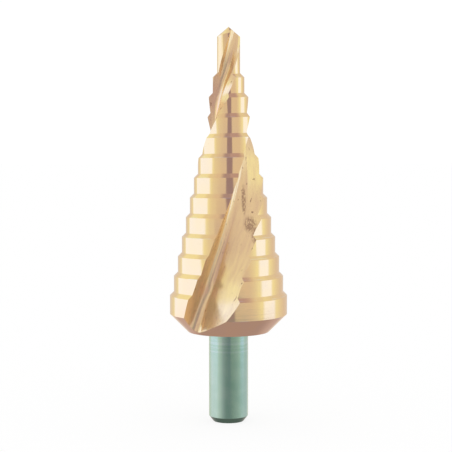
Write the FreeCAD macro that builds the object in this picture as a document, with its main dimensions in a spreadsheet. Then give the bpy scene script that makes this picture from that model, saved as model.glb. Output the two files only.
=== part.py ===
# Step drill: one bar of tool steel with a plain shank, relieved steps, two helical flutes and a ground point.
import FreeCAD, Part
import math
import os

from FreeCAD import Placement, Rotation, Vector

# Driving sizes, in millimetres and degrees
SIZES = {
    "shank_diameter": 10,
    "shank_length": 23.1,           # from the shank's end to the rear face of the stepped body
    "shank_end_bevel": 1.1,         # how much the end bevel takes off the radius
    "shank_end_bevel_height": 1.4,
    "rear_face_diameter": 20.8,
    "rear_taper_angle": 45,         # from the axis, from the rear face out to the largest step
    "last_step_length": 4.7,        # plain length of the largest step
    "step_count": 13,
    "step_pitch": 5,
    "first_diameter": 6,
    "diameter_rise": 2,
    "shoulder_height": 1,           # axial height of the conical cutting edge between two steps
    "pilot_length": 11.6,           # from the first shoulder to the point
    "pilot_clearance": 0.1,         # how far the pilot is ground inside the first diameter
    "land_relief": 0.15,            # how far each land's centre is off the axis
    "shoulder_relief": 0.36,        # the same for the conical shoulders, which clear more
    "relief_lead": 35,              # the side that the centres are off to, ahead of the cutting edge
    "flank_cone_angle": 112,        # full angle of the cone that grinds each flank of the point
    "flank_tilt": 7.5,              # how far that cone leans, which clears the flank behind its lip
    "flank_lead": 60,               # the side that it leans to, ahead of the lip
    "helix_angle": 19.8,
    "web_thickness": 1.2,           # between the two flutes in the pilot
    "web_growth": 0.314,            # added to the web for each millimetre below the pilot
    "flute_corner": 1.5,            # radius in the bottom of the flute, in the pilot
    "flute_corner_growth": 0.012,   # added for each millimetre below the pilot
    "heel_web": 4.6,                # least distance between the two heel facets
    "heel_step": 0.9,               # how far a heel facet stands out from its flute wall's distance
    "heel_facet_length": 55,        # from the point down to where the facet has left the body
    "heel_angle_at_point": 55,      # between the heel facet and the flute wall
    "heel_angle_at_end": 2,
}

# Cutting room outside the body, and overlaps inside it
ROOM = 1.5
LAP = 0.6
FLUTE_SIDES = (0, 180)
SECTOR = 196       # each land's blank, from one flute across its land to the other flute
SECTOR_START = -156
STATION_TURN = 9   # most degrees that a flute turns between two of its sections
FLANK_START = 20   # each flank's half starts this far ahead of its lip, in the open flute


def fill_sheet(doc):
    """Write the driving sizes in the sheet, one row each, with its alias."""
    sheet = doc.addObject("Spreadsheet::Sheet", "sizes")
    for row, (name, value) in enumerate(SIZES.items(), start=1):
        sheet.set(f"A{row}", name)
        sheet.set(f"B{row}", str(value))
        sheet.setAlias(f"B{row}", name)
    doc.recompute()
    return sheet


doc = FreeCAD.newDocument("step_drill")
sheet = fill_sheet(doc)


def size(name):
    return float(sheet.get(name))


# Expressions for the radii and heights of the steps; step 1 is the pilot
def step_radius(step):
    return f"(sizes.first_diameter + {step - 1} * sizes.diameter_rise) / 2"


TAPER_SLOPE = "tan(sizes.rear_taper_angle)"
TAPER_HEIGHT = f"(({step_radius(int(size('step_count')))}) - sizes.rear_face_diameter / 2) / {TAPER_SLOPE}"
SHOULDER_SLOPE = "(sizes.diameter_rise / 2 / sizes.shoulder_height)"


def step_top(step):
    """Height of the upper edge of a step's plain part."""
    above = int(size("step_count")) - step
    return f"(sizes.shank_length + {TAPER_HEIGHT} + sizes.last_step_length + {above} * sizes.step_pitch)"


PILOT_BASE = f"({step_top(2)} + sizes.shoulder_height)"
TIP = f"({PILOT_BASE} + sizes.pilot_length)"


def make(kind, name, bindings):
    """Add a document object and bind its properties to the sheet."""
    thing = doc.addObject(kind, name)
    thing.Label = name
    for prop, expression in bindings.items():
        thing.setExpression(prop, expression)
    return thing


# Round stock for the pilot and the point, reaching down into the shoulder below them
pilot = make("Part::Cylinder", "pilot", {
    "Radius": f"{step_radius(1)} - sizes.pilot_clearance",
    "Height": f"{TIP} - {PILOT_BASE} + sizes.shoulder_height",
    "Placement.Base.z": f"{PILOT_BASE} - sizes.shoulder_height",
})
doc.recompute()

# Numbers for the flutes, which are lofted through sections
pilot_base = pilot.Placement.Base.z + size("shoulder_height")
tip = pilot.Placement.Base.z + pilot.Height.Value
first_radius = size("first_diameter") / 2
body_radius = first_radius + (size("step_count") - 1) * size("diameter_rise") / 2
cone_slope = size("diameter_rise") / 2 / size("step_pitch")
lead_slope = math.tan(math.radians(size("helix_angle")))
lip_height = tip - pilot.Radius.Value / math.tan(math.radians(size("flank_cone_angle") / 2))


def body_line(height):
    """Radius of the cone that the steps follow, which the helix keeps its angle on."""
    return min(max(first_radius + (pilot_base - height) * cone_slope, first_radius), body_radius)


def stations(low, high):
    """Heights of a flute's sections, closer together where it turns faster."""
    heights = [low]
    while heights[-1] < high:
        rate = math.degrees(lead_slope / body_line(heights[-1]))
        heights.append(min(heights[-1] + STATION_TURN / rate, high))
    return heights


def edge_turn(height):
    """Direction of the cutting edge, seen from above, at a height; at the lips it points to -Y."""
    cone_end = pilot_base - (body_radius - first_radius) / cone_slope
    turn = (min(max(height, pilot_base), tip + ROOM) - lip_height) / first_radius
    if height < pilot_base:
        on_cone = max(height, cone_end)
        turn -= math.log(body_line(on_cone) / first_radius) / cone_slope
    if height < cone_end:
        turn -= (cone_end - height) / body_radius
    return -90 + math.degrees(turn * lead_slope)


def below_pilot(height):
    return max(pilot_base - height, 0)


def half_web(height):
    return size("web_thickness") / 2 + size("web_growth") / 2 * below_pilot(height)


def flute_section(height):
    """A flute at one height: radial rake wall, round corner, the wall across it and the heel facet beyond."""
    wall = half_web(height)
    corner = size("flute_corner") + size("flute_corner_growth") * below_pilot(height)
    middle = corner * (1 - math.sqrt(0.5))
    rake_foot = Vector(wall + corner, 0, 0)
    wall_foot = Vector(wall, corner, 0)
    round_corner = Part.Arc(rake_foot, Vector(wall + middle, middle, 0), wall_foot).toShape()

    along = max((height - tip) / size("heel_facet_length") + 1, 0)
    turn = size("heel_angle_at_end") + along * (size("heel_angle_at_point") - size("heel_angle_at_end"))
    turn = math.radians(turn)
    facet = max(size("heel_web") / 2, wall + size("heel_step"))
    heel = Vector(wall, (facet - wall * math.cos(turn)) / math.sin(turn), 0)
    reach = body_line(height) + size("diameter_rise") + ROOM + facet
    facet_end = heel + Vector(-math.sin(turn), math.cos(turn), 0) * reach
    outer = Vector(reach, heel.y + reach, 0)
    rake_end = Vector(reach, 0, 0)
    corners = [wall_foot, heel, facet_end, outer, rake_end, rake_foot]
    lines = [Part.makeLine(a, b) for a, b in zip(corners, corners[1:])]
    return Part.Wire([round_corner] + lines)


def flute_cutter(side):
    """A flute's cutter, lofted through one section at each station from below the rear face up past the point."""
    wires = []
    for height in stations(size("shank_length") - ROOM, tip + ROOM):
        wire = flute_section(height)
        wire.Placement = Placement(Vector(0, 0, height), Rotation(edge_turn(height), 0, 0))
        wires.append(wire)
    cutter = doc.addObject("Part::Feature", f"flute_{side}")
    cutter.Shape = Part.makeLoft(wires, True, False)
    cutter.Placement = Placement(Vector(0, 0, 0), Rotation(side, 0, 0))
    return cutter


def relieved_land(step, side):
    """One step on one land: a sector off the axis, under a shoulder cone that is further off."""
    count = int(size("step_count"))
    foot = "sizes.shank_length" if step == count else f"({step_top(step + 1)} - {LAP})"
    height = f"({step_top(step)} + sizes.shoulder_height + {LAP} - {foot})"
    top = pilot_base - size("shoulder_height") - (step - 2) * size("step_pitch")
    edge = edge_turn(top - size("step_pitch") / 2) + side
    pieces = []
    for relief, kind, name in (("land_relief", "Part::Cylinder", "plain"), ("shoulder_relief", "Part::Cone", "shoulder")):
        round_radius = f"({step_radius(step)} - sizes.{relief} * cos(sizes.relief_lead))"
        bindings = {
            "Height": height,
            "Placement.Base.x": f"sizes.{relief} * cos({edge} + sizes.relief_lead)",
            "Placement.Base.y": f"sizes.{relief} * sin({edge} + sizes.relief_lead)",
            "Placement.Base.z": foot,
        }
        if kind == "Part::Cylinder":
            bindings["Radius"] = round_radius
        else:
            bindings["Radius1"] = f"{round_radius} + ({step_top(step)} - {foot}) * {SHOULDER_SLOPE}"
            bindings["Radius2"] = f"{round_radius} - (sizes.shoulder_height + {LAP}) * {SHOULDER_SLOPE}"
        piece = make(kind, f"{name}_{step}_{side}", bindings)
        piece.Angle = SECTOR
        piece.Placement.Rotation = Rotation(edge + SECTOR_START, 0, 0)
        pieces.append(piece)
    land = doc.addObject("Part::Common", f"land_{step}_{side}")
    land.Base, land.Tool = pieces
    return land


def fused(name, pieces):
    whole = doc.addObject("Part::MultiFuse", name)
    whole.Label = name
    whole.Shapes = pieces
    return whole


def ground_point():
    """The pilot, with a flank on each land: half of a leaning cone whose apex is the drill's tip."""
    depth = "(sizes.pilot_length + sizes.shoulder_height + sizes.first_diameter)"
    flanks = []
    for side in FLUTE_SIDES:
        flank = make("Part::Cone", f"flank_{side}", {
            "Radius1": "0",
            "Radius2": f"{depth} * tan(sizes.flank_cone_angle / 2)",
            "Height": depth,
            "Placement.Base.z": TIP,
        })
        flank.Angle = 180
        flanks.append(flank)
        lip = -90 + side
        turned = Rotation(Vector(0, 0, 1), lip + size("flank_lead"))
        leaned = Rotation(Vector(0, 1, 0), 180 - size("flank_tilt"))
        half = Rotation(Vector(0, 0, 1), 180 + size("flank_lead") - FLANK_START)
        flank.Placement.Rotation = turned * leaned * half
    point = fused("point", flanks)
    ground = doc.addObject("Part::Common", "ground_pilot")
    ground.Base, ground.Tool = pilot, point
    return ground


def shank():
    """Plain round shank with a bevelled end, running up into the stepped body."""
    bevel = make("Part::Cone", "shank_bevel", {
        "Radius1": "sizes.shank_diameter / 2 - sizes.shank_end_bevel",
        "Radius2": "sizes.shank_diameter / 2",
        "Height": "sizes.shank_end_bevel_height",
    })
    bar = make("Part::Cylinder", "shank_bar", {
        "Radius": "sizes.shank_diameter / 2",
        "Height": "sizes.shank_length + sizes.last_step_length - sizes.shank_end_bevel_height",
        "Placement.Base.z": "sizes.shank_end_bevel_height",
    })
    return [bevel, bar]


def largest_step():
    """The last step's two lands, turned down behind to a taper that ends in the rear face."""
    count = int(size("step_count"))
    lands = fused("largest_lands", [relieved_land(count, side) for side in FLUTE_SIDES])
    height = f"({step_top(count)} - sizes.shank_length + sizes.step_pitch)"
    taper = make("Part::Cone", "rear_taper", {
        "Radius1": "sizes.rear_face_diameter / 2",
        "Radius2": f"sizes.rear_face_diameter / 2 + {height} * {TAPER_SLOPE}",
        "Height": height,
        "Placement.Base.z": "sizes.shank_length",
    })
    turned = doc.addObject("Part::Common", "largest_step")
    turned.Base, turned.Tool = lands, taper
    return turned


def step_drill():
    """The stepped blank, cut by both flutes."""
    pieces = shank() + [largest_step(), ground_point()]
    for step in range(2, int(size("step_count"))):
        pieces += [relieved_land(step, side) for side in FLUTE_SIDES]
    body = fused("blank", pieces)
    for side in FLUTE_SIDES:
        cut = doc.addObject("Part::Cut", f"cut_{side}")
        cut.Base, cut.Tool = body, flute_cutter(side)
        body = cut
    body.Label = "step_drill"
    return body


drill = step_drill()
doc.recompute()

for thing in doc.Objects:
    if "Invalid" in thing.State or "Error" in thing.State:
        raise RuntimeError(f"{thing.Label} didn't build: {thing.State}")

parts = [drill]
for part in parts:
    if part.Shape.isNull() or not part.Shape.isValid():
        raise RuntimeError(f"{part.Label} has no valid shape")

os.makedirs("parts", exist_ok=True)
for part in parts:
    part.Shape.exportStep(f"parts/{part.Label}.step")
    box = part.Shape.BoundBox
    print(part.Label, "solids", len(part.Shape.Solids), "faces", len(part.Shape.Faces))
    print("volume", round(part.Shape.Volume, 2), "box", box)
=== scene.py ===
import math

import bmesh
import bpy
from mathutils import Matrix, Vector

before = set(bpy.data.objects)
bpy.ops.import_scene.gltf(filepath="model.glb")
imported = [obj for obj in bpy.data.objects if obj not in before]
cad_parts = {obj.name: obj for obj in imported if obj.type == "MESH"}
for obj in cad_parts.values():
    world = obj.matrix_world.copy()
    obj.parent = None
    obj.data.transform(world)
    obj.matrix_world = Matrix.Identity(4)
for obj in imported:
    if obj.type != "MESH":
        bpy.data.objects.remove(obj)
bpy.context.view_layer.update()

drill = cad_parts["step_drill"]


# small helpers for node trees

def addNode(tree, kind, **settings):
    node = tree.nodes.new(kind)
    for name, value in settings.items():
        setattr(node, name, value)
    return node


def feed(tree, socket, value):
    # a socket gets another node's output, or a plain number, place or colour
    if isinstance(value, bpy.types.NodeSocket):
        tree.links.new(value, socket)
    elif socket.type == "RGBA":
        socket.default_value = (*value, 1)
    else:
        socket.default_value = value


def maths(tree, operation, *values):
    node = addNode(tree, "ShaderNodeMath", operation=operation)
    for socket, value in zip(node.inputs, values):
        feed(tree, socket, value)
    return node.outputs[0]


def vectorMaths(tree, operation, *values):
    node = addNode(tree, "ShaderNodeVectorMath", operation=operation)
    for socket, value in zip(node.inputs, values):
        feed(tree, socket, value)
    return node.outputs["Value" if operation in ("DOT_PRODUCT", "LENGTH") else "Vector"]


def axesOf(tree, vector):
    node = addNode(tree, "ShaderNodeSeparateXYZ")
    feed(tree, node.inputs[0], vector)
    return node.outputs


def rise(tree, value, low, high):
    # 0 below low, 1 above high, smooth between them; low above high turns it round
    node = addNode(tree, "ShaderNodeMapRange", interpolation_type="SMOOTHSTEP")
    feed(tree, node.inputs["Value"], value)
    feed(tree, node.inputs["From Min"], low)
    feed(tree, node.inputs["From Max"], high)
    return node.outputs[0]


def blend(tree, share, first, second):
    # blends two colours, or two numbers; the node has its own pair of inputs for each
    number = isinstance(second, (int, float))
    node = addNode(tree, "ShaderNodeMix", data_type="FLOAT" if number else "RGBA")
    start, end = (2, 3) if number else (6, 7)
    feed(tree, node.inputs[0], share)
    feed(tree, node.inputs[start], first)
    feed(tree, node.inputs[end], second)
    return node.outputs[0 if number else 2]


def noise(tree, place, stretch, detail, roughness):
    # stretch is how many times the pattern changes in a metre along each axis
    node = addNode(tree, "ShaderNodeTexNoise")
    feed(tree, node.inputs["Vector"], vectorMaths(tree, "MULTIPLY", place, stretch))
    node.inputs["Scale"].default_value = 1
    node.inputs["Detail"].default_value = detail
    node.inputs["Roughness"].default_value = roughness
    return node.outputs[0]


def rampOf(tree, value, stops):
    node = addNode(tree, "ShaderNodeValToRGB")
    marks = node.color_ramp.elements
    marks.remove(marks[1])
    marks[0].position = stops[0][0]
    marks[0].color = (*stops[0][1], 1)
    for place, colour in stops[1:]:
        marks.new(place).color = (*colour, 1)
    feed(tree, node.inputs[0], value)
    return node.outputs[0]


def newMaterial(name):
    material = bpy.data.materials.new(name)
    material.use_nodes = True
    material.node_tree.nodes.clear()
    output = addNode(material.node_tree, "ShaderNodeOutputMaterial")
    return material, material.node_tree, output


def stageMesh(name, shape, material):
    mesh = bpy.data.meshes.new(name)
    shape.to_mesh(mesh)
    shape.free()
    mesh.materials.append(material)
    sheet = bpy.data.objects.new(name, mesh)
    bpy.context.scene.collection.objects.link(sheet)
    return sheet


# camera: level with the upper steps, looking slightly down

cameraSet = {
    "distance": 0.330,         # from the drill's axis
    "height": 0.07285,
    "azimuth": -5.8,           # degrees, towards -X
    "aimHeight": 0.04985,
    "axisPixel": 228.56,       # column of the drill's axis in the 452 pixel wide picture
    "pictureWidth": 452,
    "pixelsPerMetre": 3951,
    "sensor": 36,
    "clipStart": 0.01,
}


def buildCamera():
    view = bpy.data.cameras.new("camera")
    camera = bpy.data.objects.new("camera", view)
    bpy.context.scene.collection.objects.link(camera)
    turn = math.radians(cameraSet["azimuth"])
    away = Vector((math.sin(turn), -math.cos(turn), 0))
    side = Vector((math.cos(turn), math.sin(turn), 0))
    offset = (cameraSet["axisPixel"] - cameraSet["pictureWidth"] / 2) / cameraSet["pixelsPerMetre"]
    aim = Vector((0, 0, cameraSet["aimHeight"])) - side * offset
    camera.location = away * cameraSet["distance"] + Vector((0, 0, cameraSet["height"]))
    camera.rotation_euler = (aim - camera.location).to_track_quat("-Z", "Y").to_euler()
    pictureSpan = cameraSet["pictureWidth"] / cameraSet["pixelsPerMetre"]
    view.sensor_width = cameraSet["sensor"]
    view.lens = view.sensor_width * cameraSet["distance"] / pictureSpan
    view.clip_start = cameraSet["clipStart"]
    bpy.context.scene.camera = camera


print("camera")
buildCamera()


# studio: an even white room with a white floor

room = {
    "white": 1.03,
    "floorHalfWidth": 3.0,
    "floorColour": (0.97, 0.97, 0.97),
    "floorGlow": 0.86,         # the rest of the floor is the real, shaded sheet
}


def buildRoom():
    world = bpy.data.worlds.new("studio")
    bpy.context.scene.world = world
    world.use_nodes = True
    background = world.node_tree.nodes["Background"]
    background.inputs["Color"].default_value = (1, 1, 1, 1)
    background.inputs["Strength"].default_value = room["white"]
    material, tree, output = newMaterial("floorSheet")
    paper = addNode(tree, "ShaderNodeBsdfDiffuse")
    feed(tree, paper.inputs["Color"], room["floorColour"])
    glow = addNode(tree, "ShaderNodeEmission")
    rays = addNode(tree, "ShaderNodeLightPath").outputs
    mirrored = maths(tree, "MAXIMUM", rays["Is Glossy Ray"], rays["Is Transmission Ray"])
    seen = maths(tree, "MAXIMUM", rays["Is Camera Ray"], mirrored)
    mix = addNode(tree, "ShaderNodeMixShader")
    feed(tree, mix.inputs[0], maths(tree, "MULTIPLY", seen, room["floorGlow"]))
    feed(tree, mix.inputs[1], paper.outputs[0])
    feed(tree, mix.inputs[2], glow.outputs[0])
    feed(tree, output.inputs["Surface"], mix.outputs[0])
    shape = bmesh.new()
    bmesh.ops.create_grid(shape, x_segments=1, y_segments=1, size=room["floorHalfWidth"])
    floor = stageMesh("floor", shape, material)
    floor.visible_glossy = False   # the metal mirrors the light tent below it too


# light tent: a round cloth that only shows in the polished metal

tent = {
    "radius": 5.0,
    "centre": (0, 0, 0.05),
    "segments": (64, 32),
    "wall": (0.765, 0.68, 0.62),
    "paleWall": (0.84, 0.80, 0.66),
    "goldWall": (0.95, 0.97, 0.72),
    "back": (0.72, 0.66, 0.62),
    "panel": (1.09, 1.22, 1.57),
    "slit": (0.36, 0.28, 0.37),
    "shade": (0.53, 0.40, 0.46),
    "skirtDark": (0.285, 0.345, 0.36),
    "skirtPale": (0.85, 0.76, 0.93),
    "skirtLight": (1.30, 1.05, 1.28),
    "skirtBack": (0.98, 0.88, 0.84),
    # which tint the cloth has at each bearing, in degrees round from the camera
    "wallTints": (
        (-180, "back"), (-165, "wall"), (-142, "paleWall"), (-128, "goldWall"), (-63, "goldWall"),
        (-52, "paleWall"), (-22, "wall"), (44, "wall"), (57, "paleWall"), (67, "goldWall"),
        (108, "goldWall"), (121, "paleWall"), (138, "wall"), (160, "wall"), (180, "back"),
    ),
    "ceilingTints": (
        (-180, "paleWall"), (-150, "goldWall"), (-110, "goldWall"), (-75, "paleWall"), (-45, "wall"),
        (30, "wall"), (60, "paleWall"), (80, "goldWall"), (112, "goldWall"), (125, "paleWall"),
        (150, "wall"), (180, "paleWall"),
    ),
    "skirtTints": (
        (-180, "skirtBack"), (-140, "skirtBack"), (-115, "skirtLight"), (-74, "skirtLight"),
        (-14, "skirtDark"), (26, "skirtDark"), (100, "skirtPale"), (130, "skirtPale"),
        (155, "skirtBack"), (180, "skirtBack"),
    ),
    # degrees up between which the ceiling and the skirt come in, and the skirt ends
    "ceilingRise": (20, 30),
    "skirtRise": (-8.5, -8.9),
    "skirtFoot": (-18, -13),
    # cards that hang before the walls: tint, bearings, degrees up, softness of their edges
    "cards": (
        ("slit", (-9, 13), (-10, 7), 2.5),       # dark slit that the camera looks through
        ("shade", (-62, -12), (6, 21), 5),
        ("shade", (-38, -4), (-40, -5), 3),
        ("shade", (-6, 24), (-40, -13), 3),
        ("panel", (-131, -65), (-12, 5), 4),     # bright panel on the left
        ("panel", (-112, -82), (3, 34), 5),
        ("panel", (73, 103), (-12, 7), 4),       # smaller one on the right
        ("panel", (46, 66), (8, 23), 5),
        ("shade", (40, 165), (66, 95), 8),
        ("slit", (168, 190), (50, 62), 5),
        ("slit", (-190, -172), (50, 62), 5),
    ),
    # layers over the walls: colour, and the degrees up between which it comes in
    "layers": (
        ((0.83, 0.78, 0.63), 46, 56),
        ((0.77, 0.67, 0.60), 58, 70),
        ((0.44, 0.34, 0.42), 72, 83),
        ((0.58, 0.46, 0.50), -17, -30),
        ((0.43, 0.335, 0.385), -32, -52),
    ),
}


def between(tree, value, limits, soft):
    start = rise(tree, value, limits[0] - soft, limits[0] + soft)
    return maths(tree, "MULTIPLY", start, rise(tree, value, limits[1] + soft, limits[1] - soft))


def buildTent():
    material, tree, output = newMaterial("lightTent")
    place = addNode(tree, "ShaderNodeTexCoord").outputs["Object"]
    sight = vectorMaths(tree, "NORMALIZE", vectorMaths(tree, "SUBTRACT", place, tent["centre"]))
    axes = axesOf(tree, sight)
    around = maths(tree, "ARCTAN2", axes["X"], maths(tree, "MULTIPLY", axes["Y"], -1))
    bearing = maths(tree, "MULTIPLY_ADD", around, math.degrees(1), -cameraSet["azimuth"])
    up = maths(tree, "MULTIPLY", maths(tree, "ARCSINE", axes["Z"]), math.degrees(1))
    share = maths(tree, "MULTIPLY_ADD", bearing, 1 / 360, 0.5)

    def tintsOf(stops):
        return rampOf(tree, share, [((angle + 180) / 360, tent[name]) for angle, name in stops])

    colour = tintsOf(tent["wallTints"])
    colour = blend(tree, rise(tree, up, *tent["ceilingRise"]), colour, tintsOf(tent["ceilingTints"]))
    for tint, low, high in tent["layers"]:
        colour = blend(tree, rise(tree, up, low, high), colour, tint)
    for tint, bearings, heights, soft in tent["cards"]:
        across = between(tree, bearing, bearings, soft)
        card = maths(tree, "MULTIPLY", across, between(tree, up, heights, soft))
        colour = blend(tree, card, colour, tent[tint])
    above, under = rise(tree, up, *tent["skirtRise"]), rise(tree, up, *tent["skirtFoot"])
    colour = blend(tree, maths(tree, "MULTIPLY", above, under), colour, tintsOf(tent["skirtTints"]))
    cloth = addNode(tree, "ShaderNodeEmission")
    feed(tree, cloth.inputs["Color"], colour)
    feed(tree, output.inputs["Surface"], cloth.outputs[0])
    shape = bmesh.new()
    around, down = tent["segments"]
    bmesh.ops.create_uvsphere(shape, u_segments=around, v_segments=down, radius=tent["radius"],
                              matrix=Matrix.Translation(tent["centre"]))
    shell = stageMesh("lightTent", shape, material)
    shell.visible_camera = False
    shell.visible_diffuse = False
    shell.visible_transmission = False
    shell.visible_shadow = False


print("studio")
buildRoom()
buildTent()


# finish of the drill: gold coloured coating on the cutting body, bare satin steel on the shank, with
# painted shade on the shank's end bevel

shapeOf = {                    # the drill's own sizes, in millimetres, that the finish follows
    "perMetre": 1000,          # millimetres
    "shankTop": 23.1,
    "coneFoot": 28.4,
    "pilotBase": 88.4,
    "firstRadius": 3.0,
    "footRadius": 15.0,
    "slope": 0.2,              # the steps' radius grows so much for each millimetre down
    "stepPitch": 5.0,
    "firstCorner": 1.0,        # outer corner of the first shoulder, below the pilot
    "lipHeight": 98.044,
    "leadSlope": 0.3600,       # tangent of the flutes' helix angle
    # how a land and a shoulder are told from a flute's wall
    "landDepth": (-0.75, -0.55),       # a land lies so near the line of the steps
    "landFacing": (0.975, 0.985),      # and its normal points so nearly outwards
    "shoulderTilt": (0.58, 0.64),      # a shoulder's normal points so far up or down
    "shankGap": 0.05,                  # the steel's colour stops so far below the rear face
    "endGap": 0.1,                     # softness of the upper edge of the bevel's painted shade
}

coating = {
    "land": (0.93, 0.705, 0.41),
    "landCloud": (0.91, 0.70, 0.43),
    "flute": (0.93, 0.73, 0.44),
    "fluteShade": (0.86, 0.65, 0.42),      # streaks along the flutes
    "pit": (0.36, 0.23, 0.16),             # small dark pits and dark speckled patches in the flutes
    "pitStrength": 0.8,
    "worn": (0.90, 0.78, 0.58),            # where the steps' edges are rubbed
    "wear": (0.16, 0.02),                  # millimetres from an edge, where it starts and is full
    "landRoughness": 0.09,
    "fluteRoughness": 0.20,
    "cloudRoughness": 0.08,                # how far the clouds change it
    "fluteMetal": 0.88,                    # the coat is thinner there, over a duller ground surface
    "darkPatches": (                            # dark speckled patches: place, and size
        ((0.0032, -0.0053, 0.0566), (0.0006, 0.0070, 0.0040)),
        ((0.0046, -0.0065, 0.0507), (0.0017, 0.0080, 0.0022)),
        ((0.0058, -0.0066, 0.0480), (0.0013, 0.0080, 0.0028)),
    ),
    "patchEdge": (1.2, 0.5),               # in sizes of the patch
    "reliefDepth": 0.00002,                # metres
    "reliefStrength": 0.25,
    "turnedRelief": 0.5,                   # turned surfaces are smoother than the flutes
    "coarseShare": 0.8,                    # of the coarse turning lines, to 1 of the fine ones
}

shank = {
    "colour": (0.375, 0.59, 0.445),
    "cloud": (0.405, 0.61, 0.47),
    "ringColour": (0.62, 0.74, 0.72),
    "ringStrength": 0.25,
    "ringFoot": (17.2, 18.7),              # rings left by turning, above this height
    # painted shade: a near-black colour for the shank's end bevel, which faces down towards the floor
    "endShade": (0.08, 0.21, 0.12),
    "endHeight": 1.4,
    "roughness": 0.17,
}

# each pattern: changes in a metre along each axis, detail, roughness
patterns = {
    "turningLines": ((60, 60, 6500), 3, 0.5),
    "coarseLines": ((25, 25, 1500), 1, 0.5),
    "streaks": ((900, 900, 20), 4, 0.6),
    "fineStreaks": ((7000, 7000, 90), 2, 0.5),
    "clouds": ((260, 260, 260), 2, 0.5),
    "pits": ((1600, 1600, 700), 1, 0.5),
    "speckle": ((3200, 3200, 1500), 3, 0.7),
    "rings": ((15, 15, 1300), 2, 0.5),
}

# the part of a pattern's range over which its colour comes in
comesIn = {
    "landCloud": (0.35, 0.70),
    "fluteShade": (0.40, 0.68),
    "pits": (0.70, 0.76),
    "speckle": (0.37, 0.52),
    "wear": (0.45, 0.60),
    "shankCloud": (0.42, 0.66),
    "rings": (0.42, 0.62),
}


def sectionPlace(tree, place, height):
    # the place as seen from the flutes' own turning section, so that a pattern on it follows the helix
    # it turns evenly in the pilot and below the cone, and with the logarithm of the radius between them
    pilot, foot = shapeOf["pilotBase"], shapeOf["coneFoot"]
    top = maths(tree, "SUBTRACT", maths(tree, "MAXIMUM", height, pilot), shapeOf["lipHeight"])
    below = maths(tree, "MAXIMUM", maths(tree, "SUBTRACT", pilot, height), 0)
    below = maths(tree, "MINIMUM", below, pilot - foot)
    growth = maths(tree, "MULTIPLY_ADD", below, shapeOf["slope"] / shapeOf["firstRadius"], 1)
    cone = maths(tree, "DIVIDE", maths(tree, "LOGARITHM", growth, math.e), shapeOf["slope"])
    tail = maths(tree, "MAXIMUM", maths(tree, "SUBTRACT", foot, height), 0)
    run = maths(tree, "SUBTRACT", maths(tree, "DIVIDE", top, shapeOf["firstRadius"]), cone)
    run = maths(tree, "SUBTRACT", run, maths(tree, "DIVIDE", tail, shapeOf["footRadius"]))
    turn = addNode(tree, "ShaderNodeVectorRotate", rotation_type="Z_AXIS")
    feed(tree, turn.inputs["Vector"], place)
    feed(tree, turn.inputs["Angle"], maths(tree, "MULTIPLY", run, -shapeOf["leadSlope"]))
    return turn.outputs[0]


def fluteFinish(tree, place, section, streaks):
    shaded = rise(tree, streaks, *comesIn["fluteShade"])
    colour = blend(tree, shaded, coating["flute"], coating["fluteShade"])
    pits = rise(tree, noise(tree, section, *patterns["pits"]), *comesIn["pits"])
    inDarkPatch = 0
    for spot, size in coating["darkPatches"]:
        apart = vectorMaths(tree, "DIVIDE", vectorMaths(tree, "SUBTRACT", place, spot), size)
        patch = rise(tree, vectorMaths(tree, "LENGTH", apart), *coating["patchEdge"])
        inDarkPatch = maths(tree, "MAXIMUM", inDarkPatch, patch)
    speckle = rise(tree, noise(tree, section, *patterns["speckle"]), *comesIn["speckle"])
    marks = maths(tree, "MAXIMUM", pits, maths(tree, "MULTIPLY", inDarkPatch, speckle))
    return blend(tree, maths(tree, "MULTIPLY", marks, coating["pitStrength"]), colour, coating["pit"])


def edgeWear(tree, below, clouds):
    # patches of the steps' outer corners are rubbed; gap is the distance to the nearest corner
    fromFirst = maths(tree, "SUBTRACT", below, shapeOf["firstCorner"])
    gap = maths(tree, "PINGPONG", fromFirst, shapeOf["stepPitch"] / 2)
    patches = rise(tree, clouds, *comesIn["wear"])
    return maths(tree, "MULTIPLY", rise(tree, gap, *coating["wear"]), patches)


def steelFinish(tree, place, height, clouds, shoulder):
    cloudy = rise(tree, clouds, *comesIn["shankCloud"])
    colour = blend(tree, cloudy, shank["colour"], shank["cloud"])
    rings = rise(tree, noise(tree, place, *patterns["rings"]), *comesIn["rings"])
    rings = maths(tree, "MULTIPLY", rings, rise(tree, height, *shank["ringFoot"]))
    rings = maths(tree, "MULTIPLY", rings, shank["ringStrength"])
    colour = blend(tree, rings, colour, shank["ringColour"])
    end, gap = shank["endHeight"], shapeOf["endGap"]
    # painted shade: the downward-facing end bevel gets a near-black colour
    shadedBevel = maths(tree, "MULTIPLY", rise(tree, height, end + gap, end - gap), shoulder)
    return blend(tree, shadedBevel, colour, shank["endShade"])


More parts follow.
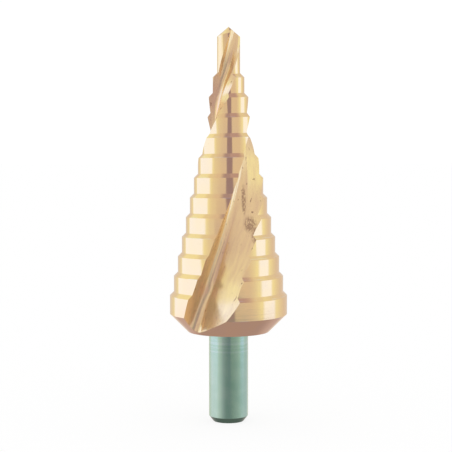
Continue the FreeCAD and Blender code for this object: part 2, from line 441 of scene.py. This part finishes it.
def buildFinish():
    material, tree, output = newMaterial("groundSteel")
    coords = addNode(tree, "ShaderNodeTexCoord").outputs
    place, facing = coords["Object"], coords["Normal"]
    scale = shapeOf["perMetre"]
    height = maths(tree, "MULTIPLY", axesOf(tree, place)["Z"], scale)
    flat = vectorMaths(tree, "MULTIPLY", place, (scale, scale, 0))
    radius = vectorMaths(tree, "LENGTH", flat)
    outward = vectorMaths(tree, "DOT_PRODUCT", vectorMaths(tree, "NORMALIZE", flat), facing)

    # which surface this is
    below = maths(tree, "SUBTRACT", shapeOf["pilotBase"], height)
    inCone = maths(tree, "MAXIMUM", below, 0)
    stepLine = maths(tree, "MULTIPLY_ADD", inCone, shapeOf["slope"], shapeOf["firstRadius"])
    stepLine = maths(tree, "MINIMUM", stepLine, shapeOf["footRadius"])
    onProfile = rise(tree, maths(tree, "SUBTRACT", radius, stepLine), *shapeOf["landDepth"])
    land = maths(tree, "MULTIPLY", onProfile, rise(tree, outward, *shapeOf["landFacing"]))
    tilt = maths(tree, "ABSOLUTE", axesOf(tree, facing)["Z"])
    shoulder = rise(tree, tilt, *shapeOf["shoulderTilt"])
    turned = maths(tree, "MAXIMUM", land, shoulder)
    isShank = maths(tree, "LESS_THAN", height, shapeOf["shankTop"] - shapeOf["shankGap"])
    smooth = maths(tree, "MAXIMUM", turned, isShank)

    # colour
    section = sectionPlace(tree, place, height)
    clouds = noise(tree, place, *patterns["clouds"])
    streaks = noise(tree, section, *patterns["streaks"])
    cloudy = rise(tree, clouds, *comesIn["landCloud"])
    landColour = blend(tree, cloudy, coating["land"], coating["landCloud"])
    gold = blend(tree, turned, fluteFinish(tree, place, section, streaks), landColour)
    rubbed = maths(tree, "MULTIPLY", edgeWear(tree, below, clouds), turned)
    gold = blend(tree, rubbed, gold, coating["worn"])
    colour = blend(tree, isShank, gold, steelFinish(tree, place, height, clouds, shoulder))

    # gloss
    roughness = blend(tree, turned, coating["fluteRoughness"], coating["landRoughness"])
    roughness = blend(tree, isShank, roughness, shank["roughness"])
    change = maths(tree, "SUBTRACT", clouds, 0.5)
    roughness = maths(tree, "MULTIPLY_ADD", change, coating["cloudRoughness"], roughness)

    # relief: turning lines round the drill, and grinding lines along the flutes
    fineLines = noise(tree, place, *patterns["turningLines"])
    coarseLines = noise(tree, place, *patterns["coarseLines"])
    lines = maths(tree, "MULTIPLY_ADD", coarseLines, coating["coarseShare"], fineLines)
    lines = maths(tree, "MULTIPLY", lines, maths(tree, "MULTIPLY", smooth, coating["turnedRelief"]))
    grinding = maths(tree, "ADD", streaks, noise(tree, section, *patterns["fineStreaks"]))
    grinding = maths(tree, "MULTIPLY", grinding, maths(tree, "SUBTRACT", 1, smooth))
    bump = addNode(tree, "ShaderNodeBump")
    feed(tree, bump.inputs["Height"], maths(tree, "ADD", lines, grinding))
    bump.inputs["Strength"].default_value = coating["reliefStrength"]
    bump.inputs["Distance"].default_value = coating["reliefDepth"]

    shader = addNode(tree, "ShaderNodeBsdfPrincipled")
    feed(tree, shader.inputs["Metallic"], blend(tree, smooth, coating["fluteMetal"], 1))
    feed(tree, shader.inputs["Base Color"], colour)
    feed(tree, shader.inputs["Roughness"], roughness)
    feed(tree, shader.inputs["Normal"], bump.outputs[0])
    feed(tree, output.inputs["Surface"], shader.outputs[0])
    drill.material_slots[0].material = material


print("finish")
buildFinish()

bpy.context.scene.view_settings.view_transform = "Standard"
print("finished")
